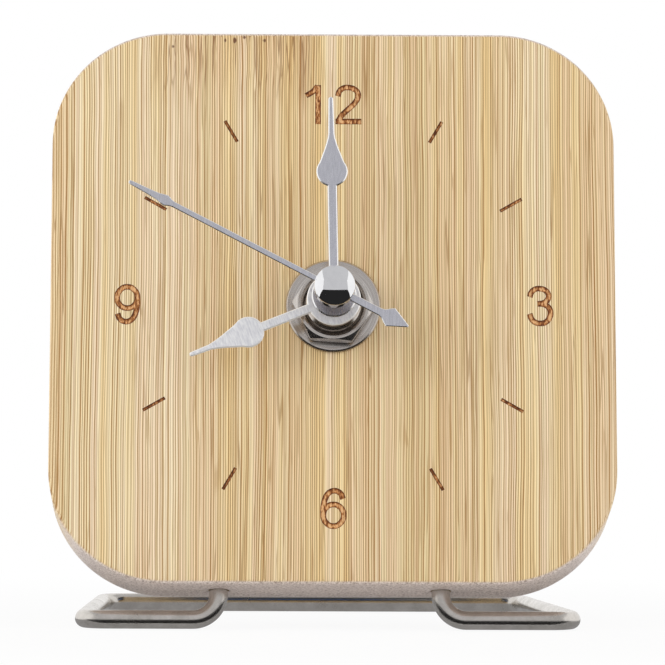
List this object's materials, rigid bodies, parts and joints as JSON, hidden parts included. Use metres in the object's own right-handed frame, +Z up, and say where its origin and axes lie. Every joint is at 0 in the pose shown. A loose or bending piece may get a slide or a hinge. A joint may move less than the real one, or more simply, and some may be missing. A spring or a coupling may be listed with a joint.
{
  "type": "desk clock",
  "caption": "Analog desk clock: a square bamboo face with large round corners leans back on a bent wire stand, with metal spade hands and a quartz movement behind.",
  "frame": {"origin": "under the middle of the whole clock, on the table", "axes": "+Z up, the dial faces -Y and leans back, +X to the right of someone who reads the dial"},
  "size_m": [0.1, 0.075, 0.1056],
  "materials": {
    "bamboo": "clear-lacquered side-pressed bamboo with scorched marks",
    "stand_wire": "satin bent steel rod",
    "hand_metal": "fine brushed sheet with bright edges",
    "polished_metal": "polished",
    "nickel": "nickel plated, turned",
    "gasket_rubber": "matte black",
    "case_plastic": "fine-textured black moulding",
    "knob_plastic": "black moulding",
    "wheel_plastic": "natural acetal",
    "plate_plastic": "white moulding",
    "arbor_brass": "turned",
    "soft_iron": "stamped soft iron",
    "bobbin_plastic": "blue moulding",
    "copper_winding": "enamelled copper wire",
    "magnet_ferrite": "sintered ferrite",
    "board_green": "green solder mask",
    "chip_resin": "black potting resin",
    "crystal_can": "tinned can",
    "contact_steel": "nickel-plated spring steel",
    "cell_jacket": "plain blue film jacket on a steel can"
  },
  "bodies": {
    "clock": {"bamboo_face": "bamboo", "wire_stand": "stand_wire", "dial_washer": "nickel", "hex_nut": "nickel", "threaded_bushing": "nickel", "rubber_gasket": "gasket_rubber", "movement_case": "case_plastic", "movement_cover": "case_plastic", "train_plate": "plate_plastic", "rear_plate": "plate_plastic", "stator": "soft_iron", "coil_core": "soft_iron", "coil_bobbin": "bobbin_plastic", "coil_winding": "copper_winding", "circuit_board": "board_green", "timing_chip": "chip_resin", "quartz_crystal": "crystal_can", "battery_cell": "cell_jacket", "positive_contact": "contact_steel", "negative_contact": "contact_steel"},
    "hour": {"hour_hand": "hand_metal", "hour_hand_collar": "nickel", "hour_wheel": "wheel_plastic"},
    "minute": {"minute_hand": "hand_metal", "minute_hand_collar": "nickel", "minute_arbor": "arbor_brass"},
    "seconds": {"second_hand": "hand_metal", "second_hand_sleeve": "nickel", "dome_cap": "polished_metal", "seconds_wheel": "wheel_plastic"},
    "centre": {"centre_wheel": "wheel_plastic"},
    "third": {"third_wheel": "wheel_plastic"},
    "intermediate": {"intermediate_wheel": "wheel_plastic"},
    "rotor": {"rotor_pinion": "wheel_plastic", "rotor_magnet": "magnet_ferrite"},
    "setting": {"setting_wheel": "wheel_plastic", "setting_knob": "knob_plastic"}
  },
  "joints": [
    {"name": "minute_spin", "type": "hinge", "parent": "clock", "child": "minute", "pos_m": [0, -0.00013, 0.05215], "axis": [0, 0.9744, -0.225], "continuous": true},
    {"name": "hour_spin", "type": "hinge", "parent": "clock", "child": "hour", "pos_m": [0, -0.00179, 0.05253], "axis": [0, 0.9744, -0.225], "continuous": true},
    {"name": "setting_spin", "type": "hinge", "parent": "clock", "child": "setting", "pos_m": [0, 0.00159, 0.06407], "axis": [0, 0.9744, -0.225], "continuous": true},
    {"name": "second_spin", "type": "hinge", "parent": "clock", "child": "seconds", "pos_m": [0, 0.00377, 0.05125], "axis": [0, 0.9744, -0.225], "continuous": true},
    {"name": "third_spin", "type": "hinge", "parent": "clock", "child": "third", "pos_m": [0.0102, 0.00279, 0.05148], "axis": [0, 0.9744, -0.225], "continuous": true},
    {"name": "centre_spin", "type": "hinge", "parent": "clock", "child": "centre", "pos_m": [0, 0.00162, 0.05175], "axis": [0, 0.9744, -0.225], "continuous": true},
    {"name": "intermediate_spin", "type": "hinge", "parent": "clock", "child": "intermediate", "pos_m": [-0.00977, 0.00345, 0.04767], "axis": [0, 0.9744, -0.225], "continuous": true},
    {"name": "rotor_spin", "type": "hinge", "parent": "clock", "child": "rotor", "pos_m": [-0.01321, 0.00553, 0.05224], "axis": [0, 0.9744, -0.225], "continuous": true}
  ],
  "couplings": [
    {"joint": "hour_spin", "follows": "minute_spin", "ratio": 0.083333},
    {"joint": "setting_spin", "follows": "minute_spin", "ratio": -0.33333},
    {"joint": "third_spin", "follows": "second_spin", "ratio": -0.13333},
    {"joint": "centre_spin", "follows": "second_spin", "ratio": 0.016667},
    {"joint": "intermediate_spin", "follows": "second_spin", "ratio": -6},
    {"joint": "rotor_spin", "follows": "second_spin", "ratio": 30}
  ]
}
